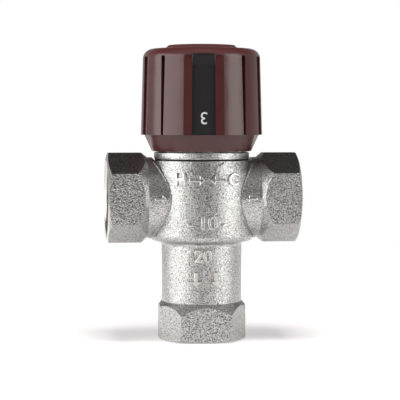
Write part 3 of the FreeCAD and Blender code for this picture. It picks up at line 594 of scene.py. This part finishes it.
def make_dial_numerals():
    """White numerals printed in the two dial windows, to be read from above the knob."""
    numerals = []
    for number, angle in (("3", 0), ("1", math.pi)):
        mesh = text_mesh(number, NUMERAL_TALL, INK_THICK, INK_THICK / 12)
        upside_down = Matrix.Rotation(math.pi, 4, "Z")
        upright = Matrix.Rotation(math.pi / 2, 4, "X")
        outward = Matrix.Translation((0, -DIAL_DEPTH, NUMERAL_ROW))
        to_window = Matrix.Rotation(angle - DIAL_TURN, 4, "Z")
        into_place = to_window @ outward @ upright @ upside_down
        bmesh.ops.transform(mesh, matrix=into_place, verts=mesh.verts)
        numerals.append(mesh)
    new_piece("dial_numerals", joined(numerals), "knob_group", [INK])


# Studio

def make_floor():
    """Pale ground that looks white and keeps the valve's shadow."""
    bpy.ops.mesh.primitive_plane_add(size=0.7)
    floor = bpy.context.object
    floor.name = "floor"
    material, tree = new_material("white_ground")
    rays = add(tree, "ShaderNodeLightPath")
    direct = add(tree, "ShaderNodeMath", {"operation": "MAXIMUM"},
                 {0: (rays, "Is Camera Ray"), 1: (rays, "Is Glossy Ray")})
    seen = add(tree, "ShaderNodeMath", {"operation": "MAXIMUM"},
               {0: (direct, 0), 1: (rays, "Is Transmission Ray")})
    place = add(tree, "ShaderNodeTexCoord")
    away = add(tree, "ShaderNodeVectorMath", {"operation": "LENGTH"}, {0: (place, "Object")})
    glow = add(tree, "ShaderNodeMapRange",
               {"From Min": 0.05, "From Max": 0.2, "To Min": 0.33, "To Max": 0.55},
               {"Value": (away, "Value")})
    matt = add(tree, "ShaderNodeBsdfDiffuse", {"Color": linear("#E8E4E5")})
    light = add(tree, "ShaderNodeEmission", {"Color": (1, 1, 1, 1)}, {"Strength": (glow, 0)})
    both = add(tree, "ShaderNodeAddShader", links={0: (matt, 0), 1: (light, 0)})
    # Light that bounces off the ground is held back, so that the undersides stay dark.
    dim = add(tree, "ShaderNodeBsdfDiffuse", {"Color": linear("#8C8A8C")})
    mix = add(tree, "ShaderNodeMixShader", links={0: (seen, 0), 1: (dim, 0), 2: (both, 0)})
    add(tree, "ShaderNodeOutputMaterial", links={"Surface": (mix, 0)})
    floor.data.materials.append(material)


def make_room():
    """Dim grey room, darkest low in front and high behind, that the camera sees as plain white."""
    world = bpy.data.worlds.new("studio")
    bpy.context.scene.world = world
    world.use_nodes = True
    tree = world.node_tree
    tree.nodes.clear()
    rays = add(tree, "ShaderNodeLightPath")
    seen = add(tree, "ShaderNodeMath", {"operation": "MAXIMUM"},
               {0: (rays, "Is Camera Ray"), 1: (rays, "Is Transmission Ray")})
    place = add(tree, "ShaderNodeTexCoord")
    facing = add(tree, "ShaderNodeSeparateXYZ", links={"Vector": (place, "Generated")})
    # Each stop is the sine of an angle above level.
    front = add(tree, "ShaderNodeValToRGB", {"stops": [
        (0.0, linear("#3C3C3C")), (0.3, linear("#606060")),
        (0.6, linear("#B4B2B2")), (0.9, linear("#A8A6A6"))]},
        {"Fac": (facing, "Z")})
    back = add(tree, "ShaderNodeValToRGB", {"stops": [
        (0.0, linear("#BEBEBE")), (0.3, linear("#A4A4A4")),
        (0.6, linear("#2A2A2A")), (0.9, linear("#0C0C0D"))]},
        {"Fac": (facing, "Z")})
    depth = add(tree, "ShaderNodeMapRange",
                {"From Min": -0.4, "From Max": 0.4}, {"Value": (facing, "Y")})
    front_wall = add(tree, "ShaderNodeBackground", links={"Color": (front, "Color")})
    back_wall = add(tree, "ShaderNodeBackground", links={"Color": (back, "Color")})
    soft = add(tree, "ShaderNodeMixShader",
               links={0: (depth, 0), 1: (front_wall, 0), 2: (back_wall, 0)})
    white = add(tree, "ShaderNodeBackground", {"Color": (1, 1, 1, 1), "Strength": 1.0})
    mix = add(tree, "ShaderNodeMixShader", links={0: (seen, 0), 1: (soft, 0), 2: (white, 0)})
    add(tree, "ShaderNodeOutputWorld", links={"Surface": (mix, 0)})


def add_softbox(name, azimuth, distance, height, size, radiance):
    """Rectangular soft light that faces the valve, at an angle from the front, in metres."""
    angle = math.radians(azimuth)
    data = bpy.data.lights.new(name, "AREA")
    data.shape = "RECTANGLE"
    data.size, data.size_y = size
    data.energy = radiance * math.pi * size[0] * size[1]
    lamp = bpy.data.objects.new(name, data)
    bpy.context.scene.collection.objects.link(lamp)
    lamp.location = (distance * math.sin(angle), -distance * math.cos(angle), height)
    aim = Vector((0, 0, PORT_HEIGHT))
    lamp.rotation_euler = (aim - lamp.location).to_track_quat("-Z", "Y").to_euler()
    return lamp


def add_camera():
    """Camera a little to the hot side of the front, just above level."""
    turn, lift, distance = math.radians(6.5), math.radians(3.0), 540 * MM
    aim_height, aim_left, half_view = 49.9 * MM, 0.54 * MM, 72 * MM
    towards = Vector((-math.sin(turn) * math.cos(lift), -math.cos(turn) * math.cos(lift),
                      math.sin(lift)))
    right = Vector((math.cos(turn), -math.sin(turn), 0))
    aim = Vector((0, 0, aim_height)) - right * aim_left
    data = bpy.data.cameras.new("camera")
    data.lens_unit = "FOV"
    data.sensor_fit = "HORIZONTAL"
    data.angle = 2 * math.atan(half_view / distance)
    data.clip_start = 0.01
    camera = bpy.data.objects.new("camera", data)
    bpy.context.scene.collection.objects.link(camera)
    camera.location = aim + towards * distance
    camera.rotation_euler = (-towards).to_track_quat("-Z", "Y").to_euler()
    bpy.context.scene.camera = camera


dress_nodes()
make_forging()
make_threads()
make_return_spring()
make_cast_marks()
make_seam_beads()
make_grip()
make_dial_numerals()
make_floor()
make_room()
add_softbox("left_box", -75, 0.85, 0.25, (1.1, 0.7), 2.7)
add_softbox("right_box", 60, 0.85, 0.25, (0.5, 0.7), 3.1)
# The top lamp gives the shadow on the ground and isn't mirrored in the metal.
add_softbox("top_box", 0, 0.2, 1.05, (0.34, 0.3), 18).visible_glossy = False
add_camera()
bpy.context.scene.view_settings.view_transform = "Standard"
